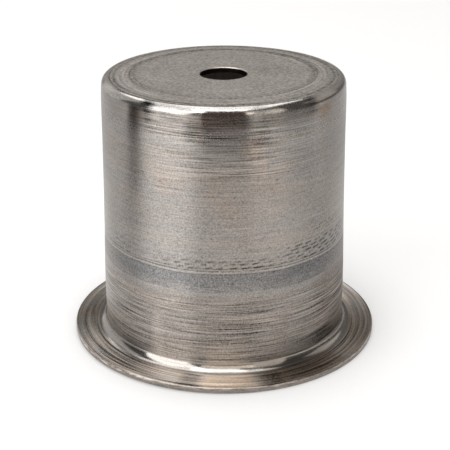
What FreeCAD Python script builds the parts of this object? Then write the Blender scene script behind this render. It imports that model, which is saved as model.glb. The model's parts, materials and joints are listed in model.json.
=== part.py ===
import FreeCAD, Part
import math
import os

# A deep drawn cup in sheet steel: one piece, with a flat flange round its mouth and a pierced hole
# in the middle of its closed end. It stands mouth down on the flange. The origin is the centre of
# the flange's underside, +Z is the cup's axis and points to the closed end, and lengths are in mm.

# Overall sizes
flange_diameter = 87.0   # trimmed outer edge of the flange
overall_height = 74.7    # underside of the flange to the outside of the closed end
sheet = 1.5              # thickness of the sheet in the closed end, the wall and the flange

# Wall: outside diameters of its draft line, taken at the two ends of the overall height
mouth_diameter = 69.0
closed_end_diameter = 66.8

# Bends, each measured on its tighter side
punch_radius = 0.5       # inside corner between the wall and the closed end
die_radius = 2.6         # outside corner between the wall and the flange

# Pierced hole and trimmed edge
hole_diameter = 13.0
pierce_roll = 0.25       # rounding that the piercing punch draws round the hole's outer edge
trim_roll = 0.3          # rounding that the trimming die draws round the flange's upper edge


def wall_radius(z):
    """Outside radius of the drafted wall at height z."""
    taper = (mouth_diameter - closed_end_diameter) / 2 / overall_height
    return mouth_diameter / 2 - taper * z


def section():
    """Corners of the sheet's half section as (radius, height, rounding), anticlockwise from the hole."""
    hole = hole_diameter / 2
    rim = flange_diameter / 2
    inner_floor = overall_height - sheet
    return [
        (hole, inner_floor, 0.0),
        (wall_radius(inner_floor) - sheet, inner_floor, punch_radius),
        (wall_radius(0.0) - sheet, 0.0, die_radius + sheet),
        (rim, 0.0, 0.0),
        (rim, sheet, trim_roll),
        (wall_radius(sheet), sheet, die_radius),
        (wall_radius(overall_height), overall_height, punch_radius + sheet),
        (hole, overall_height, pierce_roll),
    ]


def corner(before, at, after, radius):
    """Start, middle and end of the arc that rounds a corner and is tangent to both of its sides."""
    to_before = (before - at).normalize()
    to_after = (after - at).normalize()
    half_angle = to_before.getAngle(to_after) / 2
    setback = radius / math.tan(half_angle)
    bisector = (to_before + to_after).normalize()
    middle = at + bisector * (radius / math.sin(half_angle) - radius)
    return at + to_before * setback, middle, at + to_after * setback


def rounded_outline(corners):
    """Closed wire in the XZ plane through the corners, with an arc at each rounded one."""
    points = [FreeCAD.Vector(r, 0, z) for r, z, rounding in corners]
    count = len(points)
    arcs = []
    for i, (r, z, rounding) in enumerate(corners):
        if rounding > 0:
            arcs.append(corner(points[i - 1], points[i], points[(i + 1) % count], rounding))
        else:
            arcs.append((points[i], None, points[i]))
    edges = []
    for i, (start, middle, end) in enumerate(arcs):
        if middle is not None:
            edges.append(Part.Arc(start, middle, end).toShape())
        next_start = arcs[(i + 1) % count][0]
        edges.append(Part.LineSegment(end, next_start).toShape())
    return Part.Wire(edges)


def drawn_cup():
    """The whole cup: its half section turned once round the axis."""
    half_section = Part.Face(rounded_outline(section()))
    return half_section.revolve(FreeCAD.Vector(0, 0, 0), FreeCAD.Vector(0, 0, 1), 360)


def export(name, shape):
    """Write one sub-part, after making sure that it is a single sound solid."""
    if not shape.isValid() or len(shape.Solids) != 1:
        raise ValueError(name + " is not one valid solid")
    shape.Solids[0].exportStep(os.path.join("parts", name + ".step"))
    print(name, "volume", round(shape.Volume, 1), "mm3, box", shape.BoundBox)


os.makedirs("parts", exist_ok=True)
export("drawn_cup", drawn_cup())
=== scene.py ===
import json
import math

import bpy
from bpy.props import FloatProperty, FloatVectorProperty, IntProperty, PointerProperty
from mathutils import Matrix, Vector


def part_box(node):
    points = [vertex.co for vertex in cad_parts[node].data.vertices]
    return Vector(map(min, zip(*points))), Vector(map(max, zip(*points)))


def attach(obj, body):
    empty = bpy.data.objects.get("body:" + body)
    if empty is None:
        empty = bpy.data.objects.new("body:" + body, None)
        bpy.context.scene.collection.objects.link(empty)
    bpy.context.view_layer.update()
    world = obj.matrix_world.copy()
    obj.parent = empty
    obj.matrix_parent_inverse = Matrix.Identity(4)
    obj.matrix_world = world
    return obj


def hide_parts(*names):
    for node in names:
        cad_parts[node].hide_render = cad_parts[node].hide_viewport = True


bl_info = {
    "name": "Drawn cup",
    "version": (1, 0, 0),
    "blender": (4, 5, 0),
    "location": "View3D > Sidebar > Drawn cup",
    "description": "Makes a deep drawn sheet steel cup with its surface finishes, and a stage for it",
    "category": "Object",
}

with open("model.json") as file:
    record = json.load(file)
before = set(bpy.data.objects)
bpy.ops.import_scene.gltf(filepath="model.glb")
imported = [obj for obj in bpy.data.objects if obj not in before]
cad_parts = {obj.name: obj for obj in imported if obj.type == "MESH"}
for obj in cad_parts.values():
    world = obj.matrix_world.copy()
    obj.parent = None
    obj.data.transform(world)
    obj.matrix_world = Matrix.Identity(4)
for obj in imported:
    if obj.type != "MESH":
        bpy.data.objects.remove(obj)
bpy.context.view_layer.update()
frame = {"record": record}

MM = 0.001
CUP_NODE = "drawn_cup"
MOUNTS = {mount["name"]: mount for mount in frame["record"]["mounts"]}
CUP_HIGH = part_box(CUP_NODE)[1]
RIM_RADIUS = CUP_HIGH[0]
HEIGHT = CUP_HIGH[2]
HOLE_RADIUS = MOUNTS["base_hole"]["dims"]["r_mm"] * MM
SHEET = MOUNTS["flange_top"]["pos_m"][2]

# The same sizes in millimetres, which the relief and the finishes work in
TOP = HEIGHT / MM
HOLE_EDGE = HOLE_RADIUS / MM
FLANGE_TOP = SHEET / MM


# Sizes and colours that a user may set


def length_property(name, description, default):
    return FloatProperty(name=name, description=description, default=default, unit="LENGTH")


def colour_property(name, description, default):
    return FloatVectorProperty(
        name=name, description=description, size=3, subtype="COLOR", default=default, min=0, max=1)


class CupSizes(bpy.types.PropertyGroup):
    """Sizes of the cup's section, and how far its form departs from straight lines"""

    rim_radius: length_property("Rim radius", "Outside radius of the flange", RIM_RADIUS)
    mouth_radius: length_property(
        "Mouth radius", "Outside radius of the wall at the flange's underside", 34.5 * MM)
    end_radius: length_property("End radius", "Outside radius of the wall at the closed end", 33.4 * MM)
    punch_radius: length_property("Punch radius", "Inside rounding of the closed end's corner", 0.5 * MM)
    die_radius: length_property(
        "Die radius", "Outside rounding of the bend between wall and flange", 2.6 * MM)
    pierce_roll: length_property("Pierce roll", "Rounding round the hole's outer edge", 0.25 * MM)
    trim_roll: length_property("Trim roll", "Rounding round the flange's upper edge", 0.3 * MM)
    shoulder_lean: length_property(
        "Shoulder lean", "How far the top of the wall leans in towards the corner", 0.2 * MM)
    belly: length_property("Belly", "How far the lower wall stands out from its straight draft", 0.17 * MM)
    waist: length_property(
        "Waist", "How far the middle of the wall falls back from its straight draft", 0.07 * MM)
    flange_warp: FloatProperty(
        name="Flange warp", description="Slope of the flange, which lifts it at the -X side", default=0.006)


class MeshDensity(bpy.types.PropertyGroup):
    """How finely the shell is divided"""

    around: IntProperty(name="Around", description="Faces round the axis", default=256, min=24)
    outer_spacing: length_property("Outer spacing", "Distance between rings on the outside", 0.4 * MM)
    inner_spacing: length_property("Inner spacing", "Distance between rings on the inside", 3.0 * MM)
    arc_step: length_property("Arc step", "Radius that adds one more face to a rounding", 0.16 * MM)


class ToolMarks(bpy.types.PropertyGroup):
    """Depths of the marks that drawing and trimming leave in the steel"""

    draw_ring_depth: length_property("Draw ring depth", "Depth of the rings round the wall", 0.012 * MM)
    end_ring_depth: length_property(
        "End ring depth", "Depth of the rings pressed into the closed end", 0.04 * MM)
    tear_depth: length_property("Tear depth", "Roughness of the flange's sheared edge", 0.05 * MM)
    seed: FloatProperty(
        name="Seed", description="Place in the noise that the marks are taken from", default=4.0)


class SteelColours(bpy.types.PropertyGroup):
    """Reflected colours of the bare steel"""

    warm_steel: colour_property("Warm steel", "Drawn steel with a trace of oxide", (0.37, 0.338, 0.31))
    cool_steel: colour_property("Cool steel", "Steel where the oxide is rubbed off", (0.345, 0.327, 0.312))
    rubbed_steel: colour_property("Rubbed steel", "Steel burnished by the tools", (0.45, 0.432, 0.412))
    # Brown steel also tints the painted highlight at the flange's front and the painted shade beside it.
    brown_steel: colour_property("Brown steel", "Burnished steel with old oil", (0.47, 0.39, 0.32))
    torn_steel: colour_property("Torn steel", "Sheared edges", (0.46, 0.41, 0.37))
    rust: colour_property("Rust", "Faint rust bloom", (0.37, 0.28, 0.215))
    dull_end: colour_property("Dull end", "Matt closed end", (0.325, 0.304, 0.283))
    grey_band: colour_property("Grey band", "Grey band round the lower wall", (0.246, 0.242, 0.241))
    floor_white: colour_property("Floor", "Pale floor", (0.9, 0.9, 0.9))


# Node trees


class Graph:
    """A node tree under construction. Its calls add nodes, feed them, and return an output."""

    def __init__(self, tree):
        self.tree = tree

    def add(self, kind, inputs=None, **settings):
        """Add a node, set it up and feed its inputs with values or other nodes' outputs."""
        node = self.tree.nodes.new(kind)
        for name, value in settings.items():
            setattr(node, name, value)
        for key, value in (inputs or {}).items():
            self.feed(node.inputs[key], value)
        return node

    def feed(self, socket, value):
        if isinstance(value, bpy.types.NodeSocket):
            self.tree.links.new(value, socket)
        else:
            socket.default_value = value

    def math(self, operation, *values):
        return self.add("ShaderNodeMath", dict(enumerate(values)), operation=operation).outputs[0]

    def total(self, first, *others):
        for other in others:
            first = self.math("ADD", first, other)
        return first

    def product(self, first, *others):
        for other in others:
            first = self.math("MULTIPLY", first, other)
        return first

    def vector(self, operation, *values, output="Vector"):
        fed = dict(enumerate(values))
        return self.add("ShaderNodeVectorMath", fed, operation=operation).outputs[output]

    def scaled(self, vector, factor):
        fed = {0: vector, "Scale": factor}
        return self.add("ShaderNodeVectorMath", fed, operation="SCALE").outputs["Vector"]

    def xyz(self, x=0.0, y=0.0, z=0.0):
        return self.add("ShaderNodeCombineXYZ", {0: x, 1: y, 2: z}).outputs[0]

    def ramp(self, value, low, high, start=0.0, end=1.0):
        """Smooth step from start to end as the value goes from low to high."""
        fed = {0: value, 1: low, 2: high, 3: start, 4: end}
        return self.add("ShaderNodeMapRange", fed, interpolation_type="SMOOTHSTEP").outputs[0]

    def blend(self, share, start, end):
        """Smooth step from start to end as a share goes from 0 to 1."""
        return self.ramp(share, 0.0, 1.0, start, end)

    def band(self, value, low, high, soft):
        """1 between low and high, falling smoothly to 0 over soft at each side."""
        rise = self.ramp(value, low - soft, low + soft)
        fall = self.ramp(value, high - soft, high + soft, 1.0, 0.0)
        return self.product(rise, fall)

    def ridge(self, value, centre, half_width):
        """1 at the centre, falling smoothly to 0 at half_width to each side."""
        gap = self.math("ABSOLUTE", self.math("SUBTRACT", value, centre))
        return self.ramp(gap, 0.0, half_width, 1.0, 0.0)

    def noise(self, vector, detail=2.0, roughness=0.5, seed=0.0):
        """Noise from about -0.5 to 0.5 at a place in millimetres divided by the size of the marks."""
        moved = self.vector("ADD", vector, self.scaled((7.31, 3.17, 5.83), seed))
        fed = {"Vector": moved, "Scale": 1.0, "Detail": detail, "Roughness": roughness}
        return self.math("SUBTRACT", self.add("ShaderNodeTexNoise", fed).outputs[0], 0.5)

    def mix(self, factor, first, second):
        """Mix two colours. In its colour mode the node's colours are its inputs 6 and 7, and its output 2."""
        return self.add("ShaderNodeMix", {0: factor, 6: first, 7: second}, data_type="RGBA").outputs[2]


class Place:
    """Where a point of the cup is, in millimetres: round the axis, out from it and up from the floor."""

    def __init__(self, graph, position_mm):
        split = graph.add("ShaderNodeSeparateXYZ", {0: position_mm})
        self.graph = graph
        self.point = position_mm
        self.x, self.y, self.height = split.outputs[0], split.outputs[1], split.outputs[2]
        flat = graph.xyz(self.x, self.y)
        self.radius = graph.vector("LENGTH", flat, output="Value")
        self.outward = graph.vector("NORMALIZE", flat)
        front = graph.math("MULTIPLY", self.y, -1.0)
        self.azimuth = graph.math("DEGREES", graph.math("ARCTAN2", self.x, front))

    def lines(self, length, width):
        """Coordinates for marks that run round the wall, as long and as wide as given in millimetres."""
        return self.graph.vector("MULTIPLY", self.point, (1 / length, 1 / length, 1 / width))

    def rings(self, length, width):
        """Coordinates for marks that run round the closed end or the flange."""
        middle_radius = 30
        turn = self.graph.scaled(self.outward, middle_radius / length)
        out = self.graph.math("DIVIDE", self.radius, width)
        return self.graph.vector("ADD", turn, self.graph.xyz(0.0, 0.0, out))

    def grain(self, size):
        """Coordinates for marks of one size in every direction."""
        return self.graph.scaled(self.point, 1 / size)


# Shell


def section_corners(sizes):
    """Corners of the sheet's half section as (radius, height, rounding): the outside and the inside line."""
    draft = (sizes.mouth_radius - sizes.end_radius) / HEIGHT
    bend_radius = sizes.mouth_radius - draft * SHEET
    floor = HEIGHT - SHEET
    outside = [
        (HOLE_RADIUS, floor, 0.0),
        (HOLE_RADIUS, HEIGHT, sizes.pierce_roll),
        (sizes.end_radius, HEIGHT, sizes.punch_radius + SHEET),
        (bend_radius, SHEET, sizes.die_radius),
        (sizes.rim_radius, SHEET, sizes.trim_roll),
        (sizes.rim_radius, 0.0, 0.0),
    ]
    inside = [
        (sizes.rim_radius, 0.0, 0.0),
        (sizes.mouth_radius - SHEET, 0.0, sizes.die_radius + SHEET),
        (sizes.end_radius + draft * SHEET - SHEET, floor, sizes.punch_radius),
        (HOLE_RADIUS, floor, 0.0),
    ]
    return outside, inside


def outline(name, corners):
    """Open line through the corners. Each point's curve radius holds its rounding."""
    curve = bpy.data.curves.new(name, "CURVE")
    curve.dimensions = "3D"
    line = curve.splines.new("POLY")
    line.points.add(len(corners) - 1)
    for point, (radius, height, rounding) in zip(line.points, corners):
        point.co = (radius, -height, 0.0, 1.0)
        point.radius = rounding
    line_object = bpy.data.objects.new(name, curve)
    bpy.context.scene.collection.objects.link(line_object)
    return line_object


SHELL_INPUTS = {
    "Object": ("Outside line", "Inside line"),
    "Int": ("Around",),
    "Float": (
        "Outer spacing", "Inner spacing", "Arc step", "Draw ring depth", "End ring depth", "Tear depth",
        "Rim radius", "Lean", "Belly", "Waist", "Flange warp", "Seed",
        "Flat end limit", "Bend limit", "Rim limit", "Hole limit"),
    "Material": ("Wall finish", "End finish", "Flange finish", "Sheared finish", "Inside finish"),
}


def add_sockets(tree):
    """The shell tree's named inputs, and its one output."""
    sockets = {}
    for kind, names in SHELL_INPUTS.items():
        for name in names:
            sockets[name] = tree.interface.new_socket(
                name=name, in_out="INPUT", socket_type="NodeSocket" + kind)
    tree.interface.new_socket(name="Shell", in_out="OUTPUT", socket_type="NodeSocketGeometry")
    return sockets


def rounded_line(graph, line, spacing, arc_step):
    """The outline with its roundings drawn in and its straight runs divided at the spacing."""
    line_info = graph.add("GeometryNodeObjectInfo", {"Object": line})
    rounding = graph.add("GeometryNodeInputRadius").outputs[0]
    fewest_faces = 3.0
    count = graph.math("MAXIMUM", graph.math("DIVIDE", rounding, arc_step), fewest_faces)
    fed = {"Curve": line_info.outputs["Geometry"], "Radius": rounding, "Count": count}
    rounded = graph.add("GeometryNodeFilletCurve", fed, mode="POLY").outputs[0]
    here = graph.add("GeometryNodeInputPosition").outputs[0]
    index = graph.add("GeometryNodeInputIndex").outputs[0]
    fed = {"Value": here, "Index": graph.math("ADD", index, 1.0)}
    there = graph.add("GeometryNodeFieldAtIndex", fed, data_type="FLOAT_VECTOR", domain="POINT").outputs[0]
    run = graph.vector("DISTANCE", here, there, output="Value")
    cuts = graph.math("FLOOR", graph.math("DIVIDE", run, spacing))
    return graph.add("GeometryNodeSubdivideCurve", {"Curve": rounded, "Cuts": cuts}).outputs[0]


def turned(graph, line, around):
    """The line turned round the axis: swept along a circle, whose radius it is first moved in by."""
    circle_radius = 10 * MM
    fed = {"Geometry": line, "Translation": (-circle_radius, 0.0, 0.0)}
    moved = graph.add("GeometryNodeTransform", fed).outputs[0]
    circle = graph.add("GeometryNodeCurvePrimitiveCircle", {"Resolution": around, "Radius": circle_radius})
    fed = {"Curve": circle.outputs["Curve"], "Profile Curve": moved}
    return graph.add("GeometryNodeCurveToMesh", fed).outputs[0]


def with_finish(graph, shell, finish, **where):
    """The shell with a finish on all its faces, or on those that Selection picks."""
    fed = {"Geometry": shell, "Material": finish, **where}
    return graph.add("GeometryNodeSetMaterial", fed).outputs[0]


def mark_depth(graph, place, given):
    """How far the outside lies below the true section at each point, in metres."""
    wall = graph.band(place.height, 6.0, 64.0, 3.0)
    lower = graph.ramp(place.height, 19.0, 26.0, 1.0, 0.3)
    draw = graph.noise(place.lines(55.0, 1.15), detail=3.0, roughness=0.6, seed=given["Seed"])
    draw = graph.product(graph.math("ADD", draw, 0.35), wall, lower, given["Draw ring depth"])
    on_end = graph.product(graph.ramp(place.height, TOP - 0.7, TOP - 0.2),
                           graph.ramp(place.radius, HOLE_EDGE + 1.0, HOLE_EDGE + 2.5))
    end_rings = graph.total(
        graph.ridge(place.radius, 31.0, 0.5),
        graph.product(graph.ridge(place.radius, 29.6, 0.4), 0.5),
        graph.product(graph.ridge(place.radius, 28.1, 0.5), 0.35),
    )
    on_flange = graph.ramp(place.height, FLANGE_TOP + 0.2, FLANGE_TOP)
    flange_ring = graph.product(on_flange, graph.ridge(place.radius, 37.3, 0.35), 0.5)
    rings = graph.total(graph.product(end_rings, on_end), flange_ring)
    return graph.total(draw, graph.product(rings, given["End ring depth"]))


def form_offset(graph, place, given):
    """How the drawn form departs from straight lines, and how the torn rim departs from round."""
    z = place.height
    on_wall = graph.ramp(place.radius, 28.0, 31.0)
    belly = graph.product(graph.ramp(z, 3.0, 14.0), graph.ramp(z, 19.0, 34.0, 1.0, 0.0), given["Belly"])
    waist = graph.product(graph.ramp(z, 30.0, 44.0), graph.ramp(z, 58.0, 68.0, 1.0, 0.0), given["Waist"])
    lean = graph.product(graph.math("POWER", graph.ramp(z, TOP - 7.7, TOP), 2.0), given["Lean"])
    out = graph.product(graph.math("SUBTRACT", graph.math("SUBTRACT", belly, waist), lean), on_wall)

    torn = graph.vector("MULTIPLY", place.point, (1.3, 1.3, 2.5))
    tear = graph.noise(torn, detail=4.0, roughness=0.7, seed=9.0)
    rim = graph.math("DIVIDE", given["Rim radius"], MM)
    on_rim = graph.ramp(place.radius, graph.math("SUBTRACT", rim, 0.5), graph.math("SUBTRACT", rim, 0.05))
    tear = graph.product(graph.math("ADD", tear, 0.5), on_rim, given["Tear depth"])
    out = graph.math("SUBTRACT", out, tear)

    from_right = graph.math("SUBTRACT", given["Rim radius"], graph.math("MULTIPLY", place.x, MM))
    lift = graph.product(from_right, graph.ramp(z, 3.0, 18.0, 1.0, 0.0), given["Flange warp"])
    return graph.vector("ADD", graph.scaled(place.outward, out), graph.xyz(0.0, 0.0, lift))


END_ZONE, FLANGE_ZONE, EDGE_ZONE = 2, 3, 4


def finish_zone(graph, place, given):
    """Number of the finish of each outside face: 1 for the wall, or a higher one that goes before it."""
    on_end = graph.product(graph.math("GREATER_THAN", place.height, TOP - 0.02),
                           graph.math("LESS_THAN", place.radius, given["Flat end limit"]))
    on_flange = graph.math("LESS_THAN", place.height, given["Bend limit"])
    on_edge = graph.math("ADD", graph.math("GREATER_THAN", place.radius, given["Rim limit"]),
                         graph.math("LESS_THAN", place.radius, given["Hole limit"]))
    zone = 1.0
    for number, where in ((END_ZONE, on_end), (FLANGE_ZONE, on_flange), (EDGE_ZONE, on_edge)):
        zone = graph.math("MAXIMUM", zone, graph.product(where, float(number)))
    return zone


def shell_tree():
    """Geometry Nodes tree that turns the two outlines into the finished shell."""
    tree = bpy.data.node_groups.new("Turned shell", "GeometryNodeTree")
    sockets = add_sockets(tree)
    graph = Graph(tree)
    given = {socket.name: socket for socket in graph.add("NodeGroupInput").outputs if socket.name}
    outside = rounded_line(graph, given["Outside line"], given["Outer spacing"], given["Arc step"])
    inside_step = graph.math("MULTIPLY", given["Arc step"], 2.5)
    inside = rounded_line(graph, given["Inside line"], given["Inner spacing"], inside_step)
    outside = with_finish(graph, turned(graph, outside, given["Around"]), given["Wall finish"])
    inside = with_finish(graph, turned(graph, inside, given["Around"]), given["Inside finish"])

    position = graph.add("GeometryNodeInputPosition").outputs[0]
    place = Place(graph, graph.scaled(position, 1 / MM))
    kept = graph.add("GeometryNodeCaptureAttribute", domain="FACE")
    kept.capture_items.new("FLOAT", "Zone")
    graph.feed(kept.inputs["Geometry"], outside)
    graph.feed(kept.inputs["Zone"], finish_zone(graph, place, given))

    normal = graph.add("GeometryNodeInputNormal").outputs[0]
    sunk = graph.scaled(normal, graph.math("MULTIPLY", mark_depth(graph, place, given), -1.0))
    fed = {"Geometry": kept.outputs["Geometry"], "Offset": sunk}
    marked = graph.add("GeometryNodeSetPosition", fed).outputs[0]
    joined = graph.add("GeometryNodeJoinGeometry")
    graph.feed(joined.inputs[0], marked)
    graph.feed(joined.inputs[0], inside)
    fed = {"Geometry": joined.outputs[0], "Offset": form_offset(graph, place, given)}
    formed = graph.add("GeometryNodeSetPosition", fed).outputs[0]
    fed = {"Geometry": formed, "Distance": 0.001 * MM}
    welded = graph.add("GeometryNodeMergeByDistance", fed).outputs[0]

    angle = graph.add("GeometryNodeInputMeshEdgeAngle").outputs[0]
    sharp = graph.math("GREATER_THAN", angle, math.radians(50))
    fed = {"Geometry": welded, "Shade Smooth": True}
    smooth = graph.add("GeometryNodeSetShadeSmooth", fed, domain="FACE").outputs[0]
    fed = {"Geometry": smooth, "Selection": sharp, "Shade Smooth": False}
    creased = graph.add("GeometryNodeSetShadeSmooth", fed, domain="EDGE").outputs[0]
    shell = graph.add("GeometryNodeRealizeInstances", {"Geometry": creased}).outputs[0]
    for number, finish in ((END_ZONE, "End"), (FLANGE_ZONE, "Flange"), (EDGE_ZONE, "Sheared")):
        here = graph.math("COMPARE", kept.outputs["Zone"], float(number), 0.5)
        shell = with_finish(graph, shell, given[finish + " finish"], Selection=here)
    graph.add("NodeGroupOutput", {0: shell})
    return tree, sockets


def plain_mesh(name, tree, sockets, values):
    """Run the tree with these values and keep its result as a plain mesh object."""
    holder = bpy.data.objects.new(name, bpy.data.meshes.new(name))
    bpy.context.scene.collection.objects.link(holder)
    modifier = holder.modifiers.new("Turned shell", "NODES")
    modifier.node_group = tree
    for key, value in values.items():
        modifier[sockets[key].identifier] = value
    graph = bpy.context.evaluated_depsgraph_get()
    made = bpy.data.meshes.new_from_object(holder.evaluated_get(graph), depsgraph=graph)
    holder.modifiers.remove(modifier)
    holder.data = made
    made.name = name
    return holder


def signed_volume(mesh):
    """Volume inside the mesh, negative if its faces point inwards."""
    mesh.calc_loop_triangles()
    total = 0.0
    for triangle in mesh.loop_triangles:
        a, b, c = (mesh.vertices[i].co for i in triangle.vertices)
        total += a.dot(b.cross(c)) / 6
    return total


# Finishes


def own_place(graph):
    """Where the shaded point is in the coordinates of its own object."""
    objective = graph.add("ShaderNodeTexCoord").outputs["Object"]
    return Place(graph, graph.scaled(objective, 1 / MM))


def new_finish(name):
    """A material with one Principled shader of bare metal, its graph, and the cup's coordinates in it."""
    material = bpy.data.materials.new(name)
    material.use_nodes = True
    shader = material.node_tree.nodes["Principled BSDF"]
    shader.inputs["Metallic"].default_value = 1.0
    graph = Graph(material.node_tree)
    return material, graph, own_place(graph), shader


def finish_off(graph, shader, colour, tone, roughness, height_mm, anisotropic):
    """Feed the shader: colour times tone, roughness, and relief from a height in millimetres."""
    darkest = 0.02
    quarter_turn = 0.25
    graph.feed(shader.inputs["Base Color"], graph.scaled(colour, graph.math("MAXIMUM", tone, darkest)))
    graph.feed(shader.inputs["Roughness"], roughness)
    bump = graph.add("ShaderNodeBump", {"Strength": 1.0, "Distance": MM, "Height": height_mm})
    graph.feed(shader.inputs["Normal"], bump.outputs[0])
    shader.inputs["Anisotropic"].default_value = anisotropic
    shader.inputs["Anisotropic Rotation"].default_value = quarter_turn
    tangent = graph.add("ShaderNodeTangent", direction_type="RADIAL", axis="Z")
    graph.feed(shader.inputs["Tangent"], tangent.outputs[0])


def rgba(colour):
    return (*colour, 1.0)


# The tables below give azimuths in degrees, 0 being the front and 90 the +X side, and lengths in
# millimetres. Their last column says how much lighter or darker a mark is than the steel round it.

# Rings scored round the wall: height, half width, azimuths from and to, and strength
WALL_RINGS = (
    (67.8, 0.3, -22, 17, -0.31),
    (67.1, 0.2, -15, 24, -0.25),
    (66.0, 0.2, -12, 32, -0.19),
    (64.6, 0.24, -10, 14, -0.22),
    (62.9, 0.18, -33, 7, -0.22),
    (61.4, 0.24, -8, 14, -0.19),
    (59.6, 0.4, -16, 30, -0.2),
    (58.6, 0.3, -22, 38, 0.22),
    (57.4, 0.3, -18, 44, 0.18),
    (53.0, 0.3, -33, 9, -0.25),
    (52.2, 0.3, -36, 10, 0.18),
    (51.5, 0.25, -20, 14, -0.2),
    (33.4, 0.25, -60, 24, -0.2),
    (31.7, 0.28, -72, 60, -0.35),
    (31.0, 0.3, -72, 60, -0.4),
    (30.6, 0.2, -70, 75, 0.3),
    (30.0, 0.25, -60, 75, -0.3),
    (22.9, 0.25, -60, 40, -0.09),
    (21.3, 0.25, -62, 30, -0.14),
    (19.2, 0.3, -60, 60, -0.11),
    (17.7, 0.3, -40, 60, 0.12),
    (16.1, 0.3, -45, 45, -0.14),
    (15.1, 0.25, -70, 20, 0.12),
    (14.2, 0.25, -70, 70, -0.17),
    (12.9, 0.25, -50, 62, -0.12),
    (11.9, 0.4, -40, 50, 0.09),
    (10.4, 0.3, -66, 70, -0.18),
    (8.5, 0.4, -75, 40, -0.24),
    (7.4, 0.35, -10, 75, -0.27),
    (6.2, 0.4, -30, 12, 0.15),
)

# Patches: azimuths from, to and softness, heights from, to and softness, and strength. The flange's
# patches have radii instead of heights, and the chatter's say how strong its dark marks are there.
# BELOW and ABOVE lie past the cup's ends.
BELOW = -100.0
ABOVE = 200.0
# Painted reflections on the wall: light and shade in sectors round it, in place of what the steel reflects. A
# bright streak low at the front left, dark bands near the top and down the left, a dark patch low at the
# front, a lighter sector at the right and a darker one low at the left.
PAINTED_WALL_REFLECTIONS = (
    (-34.0, -29.0, 2.5, BELOW, 17.0, 2.0, 0.22),
    (-68.0, -46.0, 6.0, BELOW, 50.0, 10.0, -0.1),
    (-39.0, -33.0, 3.0, 69.0, ABOVE, 3.0, -0.7),
    (13.0, 19.0, 3.0, 65.5, ABOVE, 2.5, -0.3),
    (-17.0, -11.0, 3.0, 66.0, 71.3, 1.0, -0.35),
    (-46.0, -40.0, 3.0, 50.0, 66.0, 8.0, -0.18),
    (22.0, 38.0, 7.0, 31.0, 66.0, 3.0, 0.13),
    (-9.0, 14.0, 8.0, 9.0, 20.0, 2.0, -0.17),
    (-32.0, -10.0, 4.0, 68.0, ABOVE, 2.0, -0.1),
    (40.0, 46.0, 3.0, 70.5, ABOVE, 1.5, -0.5),
)
# Painted shade at the foot of the wall, at the right and the left, where the steel reflects the shadowed
# paper close by.
FOOT_SHADE_PATCHES = (
    (46.0, 86.0, 8.0, BELOW, 9.0, 3.0, -0.38),
    (-90.0, -60.0, 8.0, BELOW, 8.0, 2.0, -0.25),
)
# Painted shade on the bend and the flange: darker sectors at the left, between the highlights at the front
# left, and beside the front highlight at the right.
FLANGE_SHADE_PATCHES = (
    (-64.0, -34.0, 8.0, 36.8, ABOVE, 0.4, -0.15),
    (-58.0, -38.0, 6.0, 35.75, ABOVE, 0.45, -0.42),
    (-17.0, -9.0, 2.5, 36.8, ABOVE, 0.4, -0.5),
    (13.5, 22.0, 2.5, 36.8, ABOVE, 0.4, -0.3),
)
CHATTER_PATCHES = (
    (27.0, 75.0, 8.0, 31.4, 36.4, 0.8, 1.0),
    (-30.0, 24.0, 10.0, 30.9, 34.2, 0.8, 0.75),
    (44.0, 66.0, 5.0, 37.8, 40.0, 0.4, 0.6),
    (-72.0, -42.0, 8.0, 31.4, 36.0, 0.8, 0.35),
)


def scored_rings(graph, place, level):
    """Sum of the wall's scored rings, each broken a little along its length."""
    soft_end = 7.0
    gaps = graph.noise(place.lines(5.0, 0.8), detail=2.0, seed=13.0)
    rings = 0.0
    for height, half_width, start, end, strength in WALL_RINGS:
        length = graph.band(place.azimuth, start, end, soft_end)
        ring = graph.product(graph.ridge(level, height, half_width), length)
        rings = graph.math("MULTIPLY_ADD", ring, strength, rings)
    return graph.product(rings, graph.ramp(gaps, -0.22, 0.08, 0.35, 1.0))


def patches(graph, azimuth, level, table):
    """Sum of a table's patches, with the level being a height or a radius."""
    total = 0.0
    for start, end, soft_end, low, high, soft_edge, strength in table:
        length = graph.band(azimuth, start, end, soft_end)
        patch = graph.product(length, graph.band(level, low, high, soft_edge))
        total = graph.math("MULTIPLY_ADD", patch, strength, total)
    return total


def chatter(graph, place):
    """Short dark chatter marks in rows above the grey band, each slanting up to the right."""
    row_height = 0.98
    pitch = 3.5
    arc_per_degree = 0.6
    slant = 0.4
    along = graph.math("MULTIPLY", place.azimuth, arc_per_degree)
    wander = graph.noise(place.grain(2.5), detail=2.0, seed=14.0)
    row = graph.math("DIVIDE", graph.math("ADD", place.height, graph.product(wander, 0.5)), row_height)
    row_number = graph.math("FLOOR", row)
    jitter = graph.noise(graph.xyz(0.0, 0.0, graph.math("MULTIPLY", row_number, 3.7)), seed=11.0)
    stagger = graph.product(row_number, 0.37)
    pitches = graph.total(graph.math("DIVIDE", along, pitch), stagger, jitter, wander)
    across = graph.math("SUBTRACT", graph.math("FRACT", pitches), 0.5)
    up = graph.math("SUBTRACT", graph.math("FRACT", row), 0.5)
    up = graph.math("SUBTRACT", up, graph.product(across, slant))
    mark = graph.product(graph.ramp(graph.math("ABSOLUTE", up), 0.16, 0.36, 1.0, 0.0),
                         graph.ramp(graph.math("ABSOLUTE", across), 0.24, 0.4, 1.0, 0.0))
    gaps = graph.noise(place.lines(1.6, 0.8), detail=3.0, seed=12.0)
    where = patches(graph, place.azimuth, place.height, CHATTER_PATCHES)
    return graph.product(mark, graph.ramp(gaps, -0.2, 0.02), where)


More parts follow.
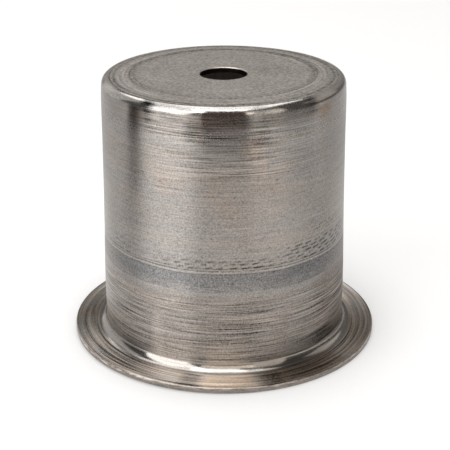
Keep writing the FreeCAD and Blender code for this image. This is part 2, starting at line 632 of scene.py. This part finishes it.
def grey_share(graph, azimuth, level, mottle):
    """How grey the wall is: a band with ragged edges, bare spots low down and faint ends."""
    ragged = graph.math("ADD", level, graph.product(mottle, graph.ramp(level, 25.0, 29.0, 0.65, 0.3)))
    ends = graph.product(graph.ramp(azimuth, -75.0, -35.0, 0.6, 1.0),
                         graph.ramp(azimuth, 40.0, 70.0, 1.0, 0.45))
    lower = graph.ramp(level, 26.6, 27.4, 0.88, 1.0)
    grey = graph.product(graph.band(ragged, 24.9, 30.25, 0.22), lower, ends)
    bare = graph.product(graph.ramp(mottle, 0.02, 0.1), graph.ramp(level, 25.8, 27.4, 1.0, 0.0), 0.5)
    return graph.product(grey, graph.math("SUBTRACT", 1.0, bare))


def rust_share(graph, place, cloud, low, right):
    """How rusty the wall is: clouds high up, a patch under the corner, and a trace low and at the right."""
    clouds = graph.product(graph.ramp(cloud, 0.0, 0.3), graph.ramp(place.height, 30.0, 60.0), 0.45)
    patch = graph.product(graph.ridge(place.azimuth, 51.0, 8.0), graph.ramp(place.height, 66.5, 71.5), 0.9)
    rust = graph.total(clouds, patch, graph.product(low, 0.15), graph.product(right, 0.3))
    return graph.math("MINIMUM", rust, 0.8)


def wall_finish(colours):
    """Drawn wall: smooth under the corner, satin lower down, with rings, chatter marks, a grey band, and
    painted light and shade in sectors round it.
    """
    material, graph, place, shader = new_finish("Drawn wall")
    z, az = place.height, place.azimuth
    fine = graph.noise(place.lines(28.0, 0.45), detail=2.0, roughness=0.6, seed=1.0)
    coarse = graph.noise(place.lines(45.0, 1.0), detail=2.0, roughness=0.6, seed=2.0)
    broad = graph.noise(place.lines(60.0, 3.2), detail=2.0, seed=3.0)
    grain = graph.noise(place.grain(0.42), detail=2.0, roughness=0.7, seed=4.0)
    dash = graph.noise(place.lines(1.5, 0.45), detail=2.0, roughness=0.6, seed=5.0)
    hair = graph.noise(place.lines(12.0, 0.32), detail=1.0, seed=15.0)
    pits = graph.noise(place.grain(0.9), detail=1.0, seed=16.0)
    cloud = graph.noise(place.grain(9.0), detail=3.0, seed=6.0)
    mottle = graph.noise(place.lines(3.6, 1.6), detail=3.0, roughness=0.6, seed=8.0)

    wobble = graph.product(graph.noise(place.grain(14.0), detail=2.0, seed=7.0), 0.5)
    level = graph.math("ADD", z, wobble)
    low = graph.band(level, 4.0, 21.8, 0.8)
    high = graph.product(graph.band(z, 56.0, 71.0, 3.0), graph.band(az, -22.0, 32.0, 18.0))
    middle = graph.band(z, 31.0, 57.0, 4.0)
    lined = graph.total(low, graph.product(high, 0.7), 0.25)
    polished = graph.ramp(z, 64.0, 71.0)
    polished_left = graph.product(graph.band(az, -38.0, -6.0, 5.0), graph.ramp(z, 65.0, 69.0))
    # Lower right of the wall: darker as painted shade, where the steel reflects the shadowed paper close by,
    # and with a trace of rust.
    right = graph.product(graph.band(az, 48.0, 100.0, 10.0), graph.ramp(level, 24.0, 26.0, 1.0, 0.0))
    from_front = graph.math("ABSOLUTE", graph.math("ADD", az, 8.0))
    shoulder = graph.product(graph.ramp(from_front, 48.0, 62.0), graph.ramp(z, 73.8, 74.5))
    grey = grey_share(graph, az, level, mottle)

    tone = graph.total(
        1.0,
        graph.product(fine, lined, graph.blend(low, 0.75, 0.65)),
        graph.product(hair, lined, graph.blend(low, 2.4, 1.5)),
        graph.product(hair, polished_left, 1.1),
        graph.product(graph.total(hair, fine), low, graph.band(az, 52.0, 96.0, 8.0), 1.1),
        graph.product(coarse, lined, 0.2),
        graph.product(broad, low, 0.1),
        graph.product(grain, graph.blend(polished, 1.5, 1.0)),
        graph.product(graph.ramp(dash, 0.1, 0.26), graph.blend(middle, -0.16, -0.36)),
        graph.product(graph.ramp(pits, 0.24, 0.32), -0.4),
        graph.product(cloud, 0.2),
        graph.product(graph.ramp(level, 21.0, 24.7, 1.0, 0.0), -0.13),
        graph.product(graph.band(level, 21.8, 24.6, 0.3), -0.06),
        graph.product(grey, graph.product(grain, 0.9)),
        graph.product(chatter(graph, place), -0.6),
        # Painted reflections: light and shade in sectors round the wall
        patches(graph, az, z, PAINTED_WALL_REFLECTIONS),
        # Painted shade at the foot of the wall
        patches(graph, az, level, FOOT_SHADE_PATCHES),
        scored_rings(graph, place, level),
        graph.product(shoulder, 0.4),
        # Painted shade at the lower right
        graph.product(right, -0.12),
    )
    rust = rust_share(graph, place, cloud, low, right)
    rubbed = graph.ramp(graph.math("ADD", z, graph.product(mottle, 2.5)), 72.2, 73.4)
    steel = graph.mix(graph.ramp(broad, -0.2, 0.2), rgba(colours.warm_steel), rgba(colours.cool_steel))
    steel = graph.mix(rust, steel, rgba(colours.rust))
    steel = graph.mix(grey, steel, rgba(colours.grey_band))
    steel = graph.mix(rubbed, steel, rgba(colours.rubbed_steel))
    roughness = graph.total(
        graph.ramp(z, 60.0, 72.5, 0.37, 0.2),
        graph.product(shoulder, 0.25),
        graph.product(grey, 0.1),
        graph.product(fine, 0.1),
        graph.product(grain, 0.1),
    )
    relief = graph.total(
        graph.product(fine, lined, 0.005),
        graph.product(hair, lined, 0.003),
        graph.product(coarse, lined, 0.003),
        graph.product(grain, 0.006),
    )
    finish_off(graph, shader, steel, tone, roughness, relief, 0.8)
    return material


def end_finish(colours):
    """Closed end: matt, pickled steel with pressed rings and dark rubbed blotches near its edge."""
    material, graph, place, shader = new_finish("Closed end")
    r, az = place.radius, place.azimuth
    grain = graph.noise(place.grain(0.8), detail=3.0, roughness=0.8, seed=21.0)
    mottle = graph.noise(place.grain(1.8), detail=3.0, roughness=0.6, seed=22.0)
    cloud = graph.noise(place.grain(9.0), detail=3.0, seed=23.0)
    rings = graph.noise(place.rings(24.0, 0.6), detail=2.0, roughness=0.6, seed=24.0)
    edge = graph.ramp(r, 22.5, 25.0, 0.25, 1.0)
    print_centre = 1.5
    from_print = graph.xyz(place.x, graph.math("SUBTRACT", place.y, print_centre))
    print_radius = graph.vector("LENGTH", from_print, output="Value")
    behind = graph.ramp(graph.math("ABSOLUTE", az), 60.0, 110.0, 0.4, 1.0)
    blotch = graph.ramp(graph.total(mottle, graph.product(rings, 0.6)), -0.2, 0.2, 0.15, 1.0)
    print_ring = graph.product(graph.ridge(print_radius, 24.9, 1.5), blotch, behind)
    pool = graph.product(graph.band(az, 85.0, 125.0, 14.0), graph.band(r, 8.5, 18.0, 3.0))
    tone = graph.total(
        1.02,
        graph.product(grain, 2.5),
        graph.product(mottle, 0.45),
        graph.product(cloud, 0.3),
        graph.product(rings, edge, 1.6),
        graph.product(print_ring, -0.75),
        graph.product(graph.ridge(print_radius, 25.7, 0.35), -0.35),
        graph.product(graph.ridge(r, 27.7, 0.5), 0.12),
        graph.product(graph.ridge(r, 29.9, 0.9), blotch, -0.75),
        graph.product(graph.ridge(r, 31.1, 0.5), -0.5),
        graph.product(pool, graph.ramp(mottle, -0.1, 0.15), -0.22),
    )
    relief = graph.total(
        graph.product(grain, 0.012),
        graph.product(mottle, 0.02),
        graph.product(rings, edge, 0.02),
    )
    finish_off(graph, shader, tuple(colours.dull_end), tone, 0.48, relief, 0.0)
    return material


def flange_finish(colours):
    """Bend and flange: rubbed bright by the die and the blank holder, with rings and brown oil stains, a
    painted highlight at the front, and painted shade beside it and at the left.
    """
    material, graph, place, shader = new_finish("Flange")
    r, az = place.radius, place.azimuth
    rings = graph.noise(place.rings(26.0, 0.36), detail=2.0, roughness=0.7, seed=31.0)
    grooves = graph.noise(place.rings(20.0, 0.9), detail=1.0, seed=35.0)
    wide = graph.noise(place.rings(34.0, 1.6), detail=2.0, seed=32.0)
    grain = graph.noise(place.grain(0.4), detail=2.0, roughness=0.7, seed=33.0)
    stain = graph.noise(place.grain(6.0), detail=3.0, seed=34.0)
    flat = graph.ramp(r, 36.4, 37.2)
    # Painted highlight: the flat flange lighter and browner at the front, in place of the turned steel's
    # bright reflection there.
    front = graph.band(graph.math("ADD", az, graph.product(wide, 8.0)), -9.0, 12.0, 3.0)
    # Painted shade: darker and browner beside the front at the right, where that reflection falls off.
    painted_shade_right = graph.band(az, 16.0, 52.0, 5.0)
    # Painted shade on the bend at the left, which dims the left lamp's reflection there.
    left_bend_shade = graph.product(graph.band(az, -82.0, -42.0, 4.0), graph.blend(flat, 1.0, 0.0))
    tone = graph.total(
        0.97,
        graph.product(rings, graph.blend(flat, 0.8, 3.2)),
        graph.product(grooves, graph.blend(flat, 0.8, 1.6)),
        graph.product(wide, graph.blend(flat, 0.3, 0.8)),
        graph.product(grain, graph.blend(flat, 0.5, 1.6)),
        graph.product(graph.band(r, 36.4, 37.2, 0.2), 0.15),
        graph.product(graph.ridge(r, 37.4, 0.35), -0.2),
        graph.product(front, flat, 0.35),
        graph.product(painted_shade_right, graph.blend(flat, -0.15, -0.34)),
        graph.product(left_bend_shade, -0.3),
        # Painted shade in sectors round the bend and the flange
        patches(graph, az, r, FLANGE_SHADE_PATCHES),
    )
    oil = graph.product(graph.ramp(stain, -0.3, 0.22), 0.75)
    # Brown comes from the oil stains, and from the painted highlight and shade at the front.
    brown = graph.math("MAXIMUM", oil, graph.total(front, painted_shade_right))
    brown = graph.product(brown, graph.blend(flat, 0.25, 1.0))
    steel = graph.mix(brown, rgba(colours.rubbed_steel), rgba(colours.brown_steel))
    roughness = graph.total(0.17, graph.product(rings, 0.2), graph.product(flat, 0.21))
    relief = graph.total(
        graph.product(rings, 0.01),
        graph.product(rings, flat, 0.012),
        graph.product(grain, 0.004),
    )
    finish_off(graph, shader, steel, tone, roughness, relief, 0.93)
    return material


def sheared_finish(colours):
    """Sheared edges of the flange and the hole: torn grain, bright on the flange with painted glints along
    its upper edge, and in the hole a painted highlight round the rim and painted shade down the bore.
    """
    material, graph, place, shader = new_finish("Sheared edge")
    tear = graph.noise(place.lines(3.0, 0.5), detail=3.0, roughness=0.7, seed=41.0)
    grain = graph.noise(place.grain(0.35), detail=2.0, roughness=0.7, seed=42.0)
    # Painted light and shade by the hole: lighter round its rim as a painted highlight, and nearly black down
    # the bore as painted shade.
    by_hole = graph.ramp(place.radius, 8.0, 9.0, 1.0, 0.0)
    painted_bore_shade = graph.product(by_hole, graph.ramp(place.height, TOP - 0.35, TOP - 0.15, 1.0, 0.0))
    from_front = graph.math("ABSOLUTE", graph.math("ADD", place.azimuth, 6.0))
    front = graph.ramp(from_front, 18.0, 28.0, 0.35, 1.0)
    # Painted glints along the flange's upper edge, weaker at the front.
    lip = graph.product(graph.ramp(place.radius, 42.0, 43.0), graph.ramp(place.height, 1.0, 1.25), front)
    tone = graph.total(
        0.58,
        graph.product(tear, 0.7),
        graph.product(grain, 0.9),
        graph.product(lip, graph.ramp(tear, -0.1, 0.15), 0.8),
        graph.product(by_hole, 0.7),
    )
    tone = graph.product(tone, graph.blend(painted_bore_shade, 1.0, 0.06))
    relief = graph.total(graph.product(tear, 0.03), graph.product(grain, 0.01))
    finish_off(graph, shader, tuple(colours.torn_steel), tone, 0.34, relief, 0.0)
    return material


def inside_finish(colours):
    """Inside and underside: punch-smoothed steel with fine scoring along the draw."""
    material, graph, place, shader = new_finish("Inside")
    scores_around = 60.0
    score_length = 25.0
    turn = graph.scaled(place.outward, scores_around)
    rise = graph.math("DIVIDE", place.height, score_length)
    lengthwise = graph.vector("ADD", turn, graph.xyz(0.0, 0.0, rise))
    score = graph.noise(lengthwise, detail=3.0, roughness=0.6, seed=51.0)
    grain = graph.noise(place.grain(0.4), detail=3.0, seed=52.0)
    cloud = graph.noise(place.grain(8.0), detail=3.0, seed=53.0)
    tone = graph.total(0.85, graph.product(score, 0.5), graph.product(grain, 0.5), graph.product(cloud, 0.3))
    relief = graph.total(graph.product(score, 0.006), graph.product(grain, 0.003))
    finish_off(graph, shader, tuple(colours.warm_steel), tone, 0.4, relief, 0.0)
    return material


class DRAWNCUP_OT_draw_shell(bpy.types.Operator):
    """Make the cup as one closed shell of sheet steel, with its tool marks and finishes"""

    bl_idname = "drawn_cup.draw_shell"
    bl_label = "Draw shell"

    def execute(self, context):
        scene = context.scene
        sizes, density, marks = scene.cup_sizes, scene.cup_density, scene.cup_marks
        colours = scene.cup_colours
        outside, inside = section_corners(sizes)
        lines = [outline("outside_line", outside), outline("inside_line", inside)]
        tree, sockets = shell_tree()
        shell = plain_mesh("cup_shell", tree, sockets, {
            "Outside line": lines[0],
            "Inside line": lines[1],
            "Around": density.around,
            "Outer spacing": density.outer_spacing,
            "Inner spacing": density.inner_spacing,
            "Arc step": density.arc_step,
            "Draw ring depth": marks.draw_ring_depth,
            "End ring depth": marks.end_ring_depth,
            "Tear depth": marks.tear_depth,
            "Rim radius": sizes.rim_radius,
            "Lean": sizes.shoulder_lean,
            "Belly": sizes.belly,
            "Waist": sizes.waist,
            "Flange warp": sizes.flange_warp,
            "Seed": marks.seed,
            "Flat end limit": (sizes.end_radius - sizes.punch_radius - SHEET) / MM,
            "Bend limit": (sizes.die_radius + SHEET) / MM,
            "Rim limit": (sizes.rim_radius - sizes.trim_roll / 2) / MM,
            "Hole limit": (HOLE_RADIUS + sizes.pierce_roll / 2) / MM,
            "Wall finish": wall_finish(colours),
            "End finish": end_finish(colours),
            "Flange finish": flange_finish(colours),
            "Sheared finish": sheared_finish(colours),
            "Inside finish": inside_finish(colours),
        })
        for line in lines:
            bpy.data.objects.remove(line)
        if signed_volume(shell.data) <= 0:
            raise RuntimeError("the shell is empty or its faces point inwards")
        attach(shell, "root")
        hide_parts(CUP_NODE)
        return {"FINISHED"}


# Stage


def softbox(name, azimuth, elevation, distance, width, height, radiance, tint):
    """Area lamp that faces the cup from a direction, azimuth 0 being the front and 90 the +X side."""
    lamp = bpy.data.lights.new(name, "AREA")
    lamp.shape = "RECTANGLE"
    lamp.size = width
    lamp.size_y = height
    lamp.energy = radiance * math.pi * width * height
    lamp.color = tint
    lamp_object = bpy.data.objects.new(name, lamp)
    turn, rise = math.radians(azimuth), math.radians(elevation)
    out = Vector((math.sin(turn) * math.cos(rise), -math.cos(turn) * math.cos(rise), math.sin(rise)))
    lamp_object.location = out * distance + Vector((0, 0, HEIGHT / 2))
    lamp_object.rotation_euler = out.to_track_quat("Z", "Y").to_euler()
    bpy.context.scene.collection.objects.link(lamp_object)
    return lamp_object


# Lamps that face the cup: azimuth, elevation, distance, width, height, radiance and tint
SIDE_LAMPS = {
    "left_softbox": (-52, 25, 1.0, 0.8, 1.25, 2.5, (1.0, 0.985, 0.97)),
    "right_fill": (41, 22, 1.0, 0.55, 0.9, 0.9, (1.0, 0.92, 0.83)),
    "front_low_fill": (3, 22, 0.6, 0.48, 0.3, 1.5, (1.0, 0.88, 0.77)),
    "front_top_fill": (-8, 62, 0.6, 0.36, 0.42, 2.8, (0.97, 0.99, 1.0)),
    "left_back_fill": (-127, 24, 1.0, 0.85, 0.9, 0.6, (1.0, 0.98, 0.96)),
    "right_back_fill": (114, 30, 1.0, 0.7, 0.5, 0.45, (1.0, 0.93, 0.86)),
}


def add_lamps():
    """Large soft sources: one level overhead, one at the left front, and weaker fills round the cup."""
    top = softbox("overhead_softbox", 0, 90, 1.0, 1.08, 1.65, 1.95, (1.0, 0.985, 0.965))
    top.location = (-0.16, 0.53, 1.0)
    top.rotation_euler = (0, 0, 0)
    for name, setting in SIDE_LAMPS.items():
        softbox(name, *setting)


def add_world():
    """Dim studio, a little lighter behind the cup."""
    world = bpy.data.worlds.new("studio")
    bpy.context.scene.world = world
    world.use_nodes = True
    graph = Graph(world.node_tree)
    background = world.node_tree.nodes["Background"]
    direction = graph.add("ShaderNodeTexCoord").outputs["Generated"]
    split = graph.add("ShaderNodeSeparateXYZ", {0: direction})
    behind = graph.ramp(split.outputs[1], 0.3, 0.9)
    colour = graph.mix(behind, (0.10, 0.095, 0.09, 1.0), (0.19, 0.18, 0.17, 1.0))
    graph.feed(background.inputs["Color"], colour)


def stage_card(name, corners, finish_name):
    """Flat card of the stage, with the graph of its own finish and the socket that takes the shader."""
    mesh = bpy.data.meshes.new(name)
    mesh.from_pydata(corners, [], [(0, 1, 2, 3)])
    card = bpy.data.objects.new(name, mesh)
    bpy.context.scene.collection.objects.link(card)
    material = bpy.data.materials.new(finish_name)
    material.use_nodes = True
    mesh.materials.append(material)
    surface = material.node_tree.nodes["Material Output"].inputs["Surface"]
    return card, Graph(material.node_tree), surface


def level_square(half_side, height):
    """Corners of a level square round the axis."""
    return [
        (-half_side, -half_side, height),
        (half_side, -half_side, height),
        (half_side, half_side, height),
        (-half_side, half_side, height),
    ]


def show_only_in_reflections(card):
    card.visible_camera = False
    card.visible_diffuse = False
    card.visible_shadow = False


def add_floor(colours):
    """Wide pale floor just under the cup. It glows a little, so that it stays even beyond the shadow. Near
    the cup, ambient occlusion dims its colour and glow: a painted contact shadow.
    """
    half_side = 4.0
    drop = 0.02 * MM
    floor, graph, surface = stage_card("floor", level_square(half_side, -drop), "Floor paper")
    # Painted contact shadow: ambient occlusion darkens the paper and its glow close to the cup.
    closeness = graph.add("ShaderNodeAmbientOcclusion", {"Distance": 30 * MM}, samples=8).outputs["AO"]
    dim = graph.ramp(closeness, 0.5, 1.0, 0.72, 1.0)
    paper = graph.add("ShaderNodeBsdfDiffuse", {"Color": graph.scaled(tuple(colours.floor_white), dim)})
    glow = graph.add("ShaderNodeEmission", {"Color": (1.0, 1.0, 1.0, 1.0), "Strength": dim})
    path = graph.add("ShaderNodeLightPath").outputs
    seen = graph.total(path["Is Camera Ray"], path["Is Glossy Ray"], path["Is Transmission Ray"])
    share = graph.math("MULTIPLY", graph.math("MINIMUM", seen, 1.0), 0.5)
    mixed = graph.add("ShaderNodeMixShader", {0: share, 1: paper.outputs[0], 2: glow.outputs[0]})
    graph.feed(surface, mixed.outputs[0])


def add_surround():
    """Dark room beyond the paper's edge, which only the steel's reflections show.

    It hides the paper in front, where the camera stands, at the left and far off at the right, and part of
    it at both sides. Close by at the right it shades the paper.
    """
    half_side = 3.0
    rise = 1.0 * MM
    surround, graph, surface = stage_card("surround", level_square(half_side, rise), "Dark surround")
    place = own_place(graph)
    azimuth, distance = place.azimuth, place.radius
    side = graph.math("ABSOLUTE", azimuth)
    front = graph.product(graph.band(azimuth, -21.0, 25.0, 7.0), graph.ramp(distance, 165.0, 215.0))
    left = graph.product(graph.band(azimuth, -94.0, -77.0, 5.0), graph.ramp(distance, 110.0, 200.0))
    sides = graph.product(graph.ramp(side, 75.0, 105.0), graph.ramp(distance, 90.0, 260.0), 0.42)
    close_by = graph.ramp(distance, 50.0, 125.0, 0.55, 0.0)
    shade = graph.product(graph.band(azimuth, 80.0, 155.0, 30.0), close_by)
    right = graph.product(graph.band(azimuth, 32.0, 85.0, 8.0), graph.ramp(distance, 230.0, 330.0), 0.85)
    hidden = 0.0
    for part in (front, left, sides, shade, right):
        hidden = graph.math("MAXIMUM", hidden, part)
    dark = graph.add("ShaderNodeEmission", {"Color": (0.06, 0.05, 0.045, 1.0), "Strength": 1.0})
    clear = graph.add("ShaderNodeBsdfTransparent")
    mixed = graph.add("ShaderNodeMixShader", {0: hidden, 1: clear.outputs[0], 2: dark.outputs[0]})
    graph.feed(surface, mixed.outputs[0])
    show_only_in_reflections(surround)


def add_near_card():
    """Narrow black card close before the upper end of the cup, which only the steel's reflections show."""
    left, right = -11.0 * MM, 11.5 * MM
    front, low, high = -48.0 * MM, 65.5 * MM, 106.0 * MM
    corners = [(left, front, low), (right, front, low), (right, front, high), (left, front, high)]
    card, graph, surface = stage_card("near_card", corners, "Black card")
    dark = graph.add("ShaderNodeEmission", {"Color": (0.09, 0.06, 0.05, 1.0), "Strength": 1.0})
    graph.feed(surface, dark.outputs[0])
    show_only_in_reflections(card)


def add_camera():
    """Camera in front of the cup, looking down at it, turned a little round its line of sight."""
    elevation = math.radians(22.63)
    roll = math.radians(-0.142)
    distance = 332.5 * MM
    aim = Vector((0.27 * MM, 0.0, 30.0 * MM))
    lens = bpy.data.cameras.new("camera")
    lens.sensor_width = 36.0
    lens.lens = 92.76
    lens.clip_start = 0.01
    camera = bpy.data.objects.new("camera", lens)
    back = Vector((0.0, -math.cos(elevation), math.sin(elevation)))
    camera.location = aim + back * distance
    turn = Matrix.Rotation(math.pi / 2 - elevation, 3, "X") @ Matrix.Rotation(roll, 3, "Z")
    camera.rotation_euler = turn.to_euler()
    bpy.context.scene.collection.objects.link(camera)
    bpy.context.scene.camera = camera


class DRAWNCUP_OT_set_stage(bpy.types.Operator):
    """Set the floor, the lamps, the surroundings and the camera round the cup"""

    bl_idname = "drawn_cup.set_stage"
    bl_label = "Set stage"

    def execute(self, context):
        add_floor(context.scene.cup_colours)
        add_surround()
        add_near_card()
        add_world()
        add_lamps()
        add_camera()
        context.scene.view_settings.view_transform = "Standard"
        return {"FINISHED"}


class DRAWNCUP_PT_panel(bpy.types.Panel):
    """Sidebar panel that lists the steps"""

    bl_idname = "DRAWNCUP_PT_panel"
    bl_label = "Drawn cup"
    bl_space_type = "VIEW_3D"
    bl_region_type = "UI"
    bl_category = "Drawn cup"

    def draw(self, context):
        for group in GROUPS:
            held = getattr(context.scene, group)
            for name in held.bl_rna.properties.keys():
                if name not in ("rna_type", "name"):
                    self.layout.prop(held, name)
        for operator in STEPS:
            self.layout.operator(operator.bl_idname)


GROUPS = {
    "cup_sizes": CupSizes,
    "cup_density": MeshDensity,
    "cup_marks": ToolMarks,
    "cup_colours": SteelColours,
}
STEPS = (DRAWNCUP_OT_draw_shell, DRAWNCUP_OT_set_stage)


def register():
    for group, kind in GROUPS.items():
        bpy.utils.register_class(kind)
        setattr(bpy.types.Scene, group, PointerProperty(type=kind))
    for step in STEPS:
        bpy.utils.register_class(step)
    bpy.utils.register_class(DRAWNCUP_PT_panel)


def unregister():
    bpy.utils.unregister_class(DRAWNCUP_PT_panel)
    for step in reversed(STEPS):
        bpy.utils.unregister_class(step)
    for group, kind in GROUPS.items():
        delattr(bpy.types.Scene, group)
        bpy.utils.unregister_class(kind)


def main():
    register()
    bpy.ops.drawn_cup.draw_shell()
    bpy.ops.drawn_cup.set_stage()


if __name__ == "__main__":
    main()
